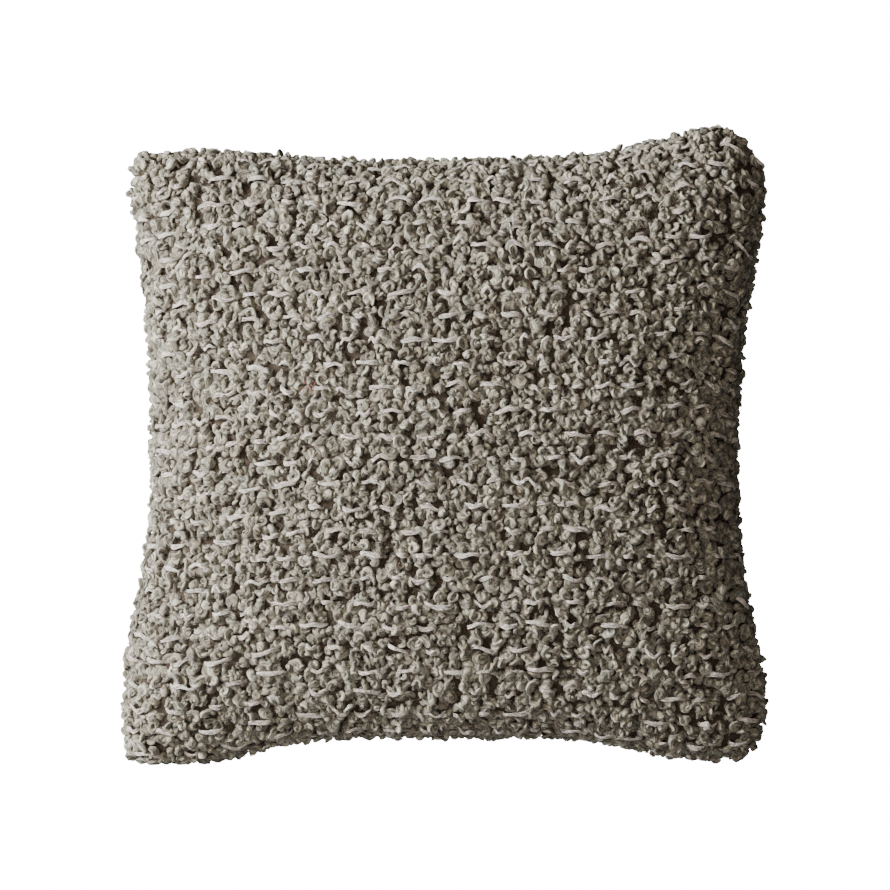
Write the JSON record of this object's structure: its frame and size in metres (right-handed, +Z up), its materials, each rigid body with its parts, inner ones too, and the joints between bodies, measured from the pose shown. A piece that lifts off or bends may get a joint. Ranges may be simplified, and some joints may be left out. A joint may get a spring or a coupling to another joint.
{
  "type": "throw pillow",
  "caption": "Square throw pillow with a looped, rowed yarn front, a plain cloth back, a hidden zip in the bottom seam and a fibre-filled insert.",
  "frame": {"origin": "on the floor under the middle of the pillow, between the two bottom corners", "axes": "+X to the right as seen from the front, -Y out of the looped front face, +Z up"},
  "size_m": [0.5118, 0.1598, 0.514],
  "materials": {
    "boucle": "chunky looped yarn, matt",
    "back_cloth": "plain woven cotton, matt",
    "thread": "sewing thread",
    "casing": "non-woven white casing",
    "casing_thread": "white sewing thread",
    "fill": "lofty polyester fibre",
    "zip_tape": "woven zip tape",
    "zip_coil": "nylon filament",
    "zip_metal": "dull antique nickel"
  },
  "bodies": {
    "cover": {"front_panel": "boucle", "back_panel": "back_cloth", "seam_thread_left": "thread", "seam_thread_right": "thread", "seam_thread_top": "thread", "seam_thread_bottom_left": "thread", "seam_thread_bottom_right": "thread", "insert_front": "casing", "insert_back": "casing", "insert_thread": "casing_thread", "insert_closing_thread": "casing_thread", "fibre_fill": "fill", "zip_tape_front": "zip_tape", "zip_tape_back": "zip_tape", "zip_coil_front": "zip_coil", "zip_coil_back": "zip_coil", "zip_stitch_front": "thread", "zip_stitch_back": "thread", "zip_top_stops": "zip_metal", "zip_bottom_stop": "zip_metal", "zip_bar_tacks": "thread"},
    "slider": {"zip_slider": "zip_metal"},
    "pull": {"zip_pull": "zip_metal"}
  },
  "joints": [
    {"name": "zip_slide", "type": "slide", "parent": "cover", "child": "slider", "axis": [-1, 0, 0], "range_m": [0, 0.263]},
    {"name": "pull_swing", "type": "hinge", "parent": "slider", "child": "pull", "pos_m": [0.13175, 0, 0.02124], "axis": [0, -1, 0], "range_deg": [0, 175]}
  ]
}
